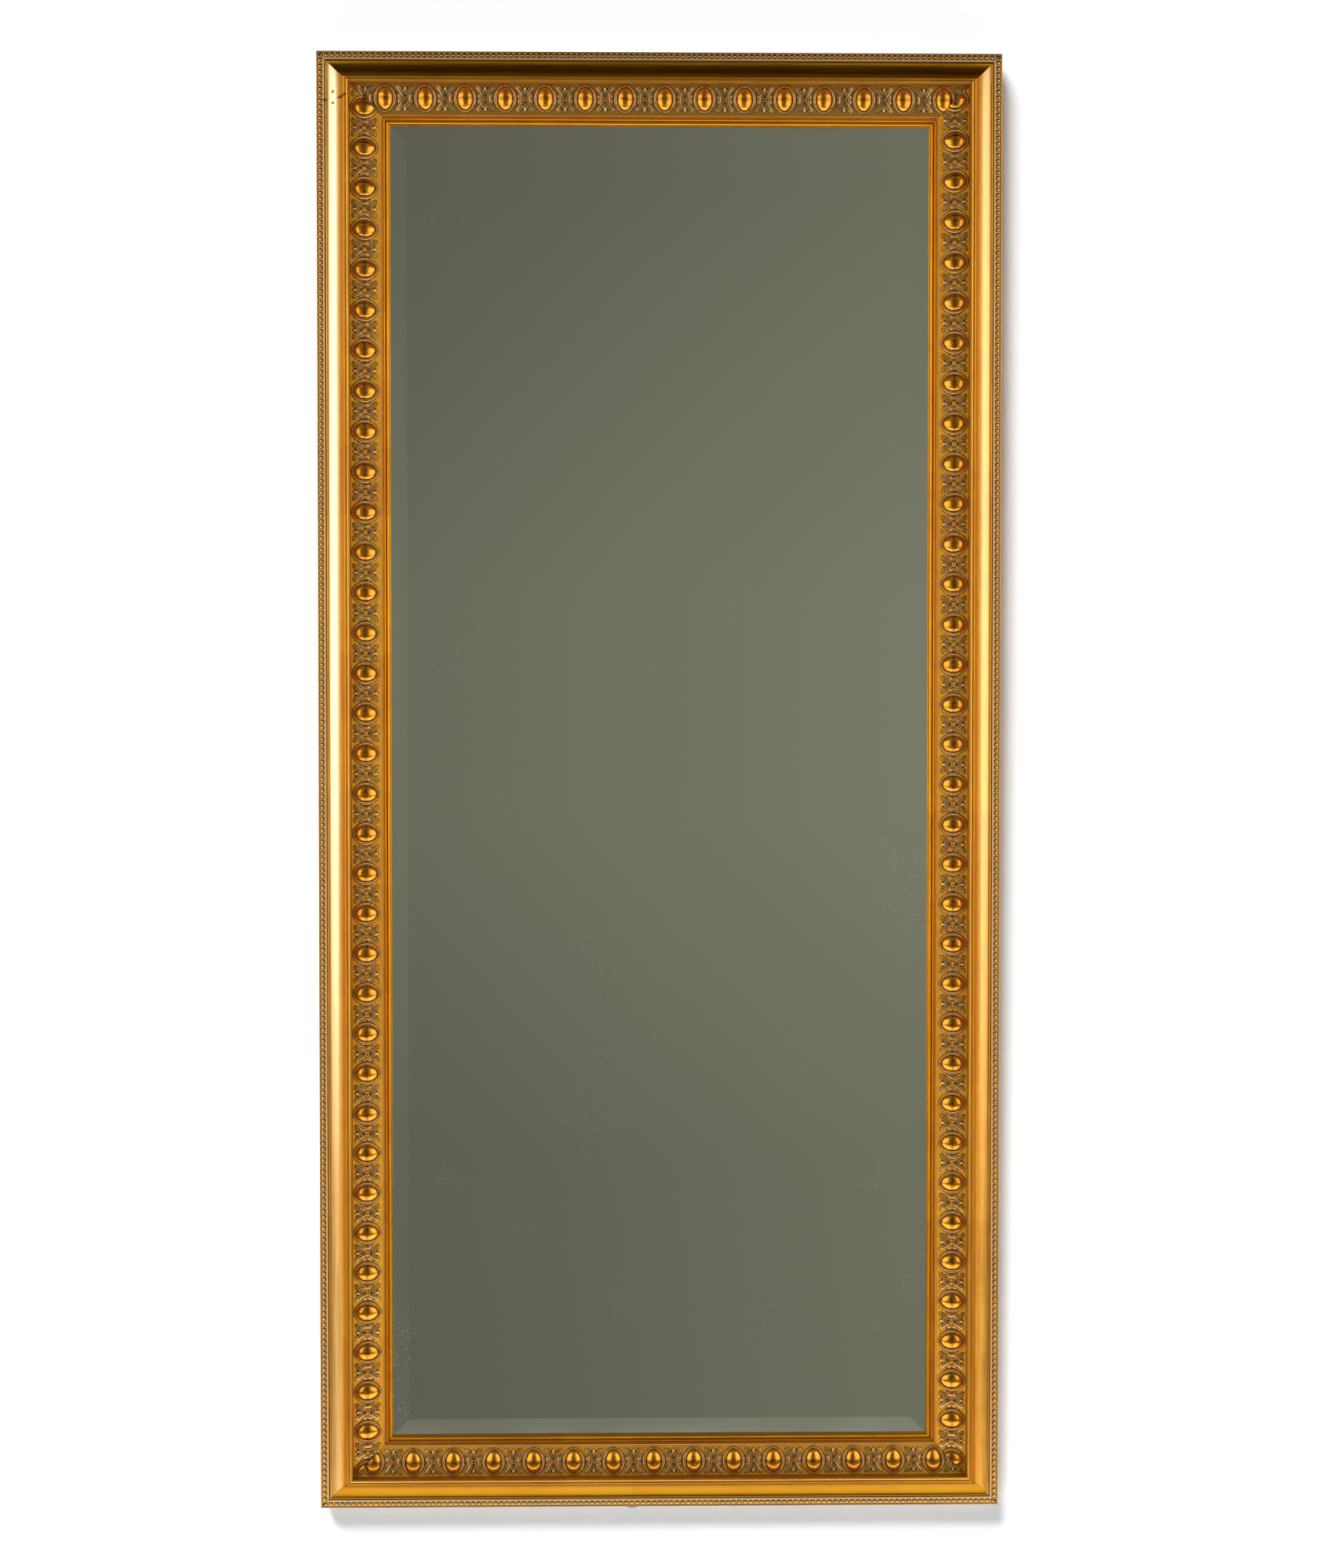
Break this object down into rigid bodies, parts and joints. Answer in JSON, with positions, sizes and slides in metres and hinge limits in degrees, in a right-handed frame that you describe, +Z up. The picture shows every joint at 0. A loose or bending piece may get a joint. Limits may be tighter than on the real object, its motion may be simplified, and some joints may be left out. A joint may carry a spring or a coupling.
{
  "type": "pier mirror",
  "caption": "Tall wall mirror: a mitred gilded frame with egg-and-leaf ornament and a beaded edge round a bevelled plate, hung by two D-rings.",
  "frame": {"origin": "on the flat back of the top rail, at the middle of its width and of its back's height; the wall is 8.3 mm behind it", "axes": "+Z up, +X to the right as seen from the front, +Y backwards into the wall; the mirror faces -Y"},
  "size_m": [0.8, 0.0546, 1.7103],
  "materials": {
    "gilded_wood": "leaf gilding over red bole on gessoed softwood, burnished cove and fillets, lightly rubbed",
    "gilded_composition": "leaf gilding over red bole on cast composition, with a pale antique wash in its recesses",
    "gilded_beading": "gilded composition beads with a dark antique wash between them",
    "mirror_plate": "silvered bevelled plate glass, faintly foxed near the edges",
    "grey_card": "matt grey card",
    "backing_board": "matt brown hardboard",
    "cork": "matt cork",
    "zinc_plated_steel": "zinc plated, slightly dulled",
    "dark_steel": "dark tarnished steel",
    "black_rubber": "matt black rubber"
  },
  "bodies": {
    "frame": {"backing_board": "backing_board", "barrier_card": "grey_card", "beading_bottom": "gilded_beading", "beading_left": "gilded_beading", "beading_right": "gilded_beading", "beading_top": "gilded_beading", "bottom_glide": "dark_steel", "bottom_rail": "gilded_wood", "corner_plate_bottom_left": "zinc_plated_steel", "corner_plate_bottom_right": "zinc_plated_steel", "corner_plate_top_left": "zinc_plated_steel", "corner_plate_top_right": "zinc_plated_steel", "corner_screw_bottom_left_1": "zinc_plated_steel", "corner_screw_bottom_left_2": "zinc_plated_steel", "corner_screw_bottom_right_1": "zinc_plated_steel", "corner_screw_bottom_right_2": "zinc_plated_steel", "corner_screw_top_left_1": "zinc_plated_steel", "corner_screw_top_left_2": "zinc_plated_steel", "corner_screw_top_right_1": "zinc_plated_steel", "corner_screw_top_right_2": "zinc_plated_steel", "edge_block_left": "cork", "edge_block_right": "cork", "egg_and_leaf_bottom": "gilded_composition", "egg_and_leaf_left": "gilded_composition", "egg_and_leaf_right": "gilded_composition", "egg_and_leaf_top": "gilded_composition", "framers_point_bottom_1": "zinc_plated_steel", "framers_point_bottom_2": "zinc_plated_steel", "framers_point_left_1": "zinc_plated_steel", "framers_point_left_2": "zinc_plated_steel", "framers_point_left_3": "zinc_plated_steel", "framers_point_left_4": "zinc_plated_steel", "framers_point_right_1": "zinc_plated_steel", "framers_point_right_2": "zinc_plated_steel", "framers_point_right_3": "zinc_plated_steel", "framers_point_right_4": "zinc_plated_steel", "framers_point_top_1": "zinc_plated_steel", "framers_point_top_2": "zinc_plated_steel", "hanger_screw_left_1": "zinc_plated_steel", "hanger_screw_left_2": "zinc_plated_steel", "hanger_screw_right_1": "zinc_plated_steel", "hanger_screw_right_2": "zinc_plated_steel", "hanger_strap_left": "zinc_plated_steel", "hanger_strap_right": "zinc_plated_steel", "left_stile": "gilded_wood", "mirror_plate": "mirror_plate", "mitre_nail_bottom_left": "zinc_plated_steel", "mitre_nail_bottom_right": "zinc_plated_steel", "mitre_nail_top_left": "zinc_plated_steel", "mitre_nail_top_right": "zinc_plated_steel", "right_stile": "gilded_wood", "setting_block_left": "cork", "setting_block_right": "cork", "top_rail": "gilded_wood", "wall_bumper_left": "black_rubber", "wall_bumper_right": "black_rubber"},
    "ring_left": {"hanger_ring_left": "zinc_plated_steel"},
    "ring_right": {"hanger_ring_right": "zinc_plated_steel"}
  },
  "joints": [
    {"name": "ring_left_swing", "type": "hinge", "parent": "frame", "child": "ring_left", "pos_m": [-0.36205, 0.00402, -0.34205], "axis": [1, 0, 0], "range_deg": [0, 180]},
    {"name": "ring_right_swing", "type": "hinge", "parent": "frame", "child": "ring_right", "pos_m": [0.36205, 0.00402, -0.34205], "axis": [1, 0, 0], "range_deg": [0, 180]}
  ]
}
